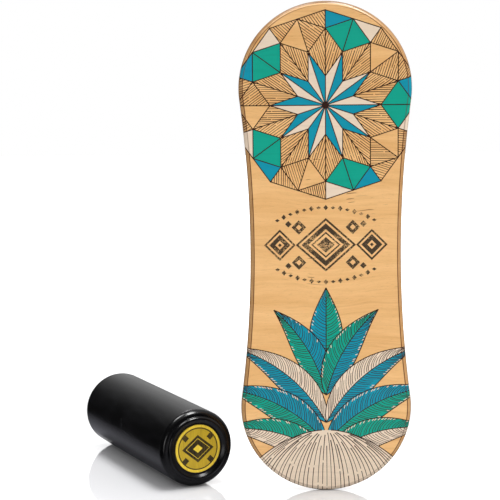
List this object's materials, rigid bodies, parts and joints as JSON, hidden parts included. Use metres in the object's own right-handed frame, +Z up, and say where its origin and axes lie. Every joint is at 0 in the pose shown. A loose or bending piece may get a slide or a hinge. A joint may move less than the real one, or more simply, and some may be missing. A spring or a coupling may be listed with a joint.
{
  "type": "rola bola",
  "caption": "Balance board: a waisted plywood deck with stops across its underside, stood on its tail beside the capped roller that it rides on.",
  "frame": {"origin": "on the floor, under the middle of the whole set's box, with the deck stood on its tail and the roller lying beside it", "axes": "+Z up, along the standing deck from tail to nose; +Y level, away from the deck's printed face; +X to the right as the printed face is looked at"},
  "size_m": [0.5292, 0.3584, 0.7515],
  "materials": {
    "deck_wood": "satin lacquer over a printed face",
    "stop_wood": "satin lacquer",
    "screw": "zinc plated",
    "tube": "satin",
    "cap": "polished",
    "label": "brushed gold film"
  },
  "bodies": {
    "deck": {"deck": "deck_wood", "nose_stop": "stop_wood", "tail_stop": "stop_wood", "nose_stop_screw_1": "screw", "nose_stop_screw_2": "screw", "nose_stop_screw_3": "screw", "nose_stop_screw_4": "screw", "tail_stop_screw_1": "screw", "tail_stop_screw_2": "screw", "tail_stop_screw_3": "screw", "tail_stop_screw_4": "screw"},
    "roller": {"roller_tube": "tube", "near_end_cap": "cap", "far_end_cap": "cap", "near_label": "label", "far_label": "label"}
  },
  "joints": [
    {"name": "roller_spin", "type": "hinge", "parent": "deck", "child": "roller", "pos_m": [-0.13959, 0.0031, 0.06087], "axis": [-0.4337, 0.9011, 0], "continuous": true}
  ]
}
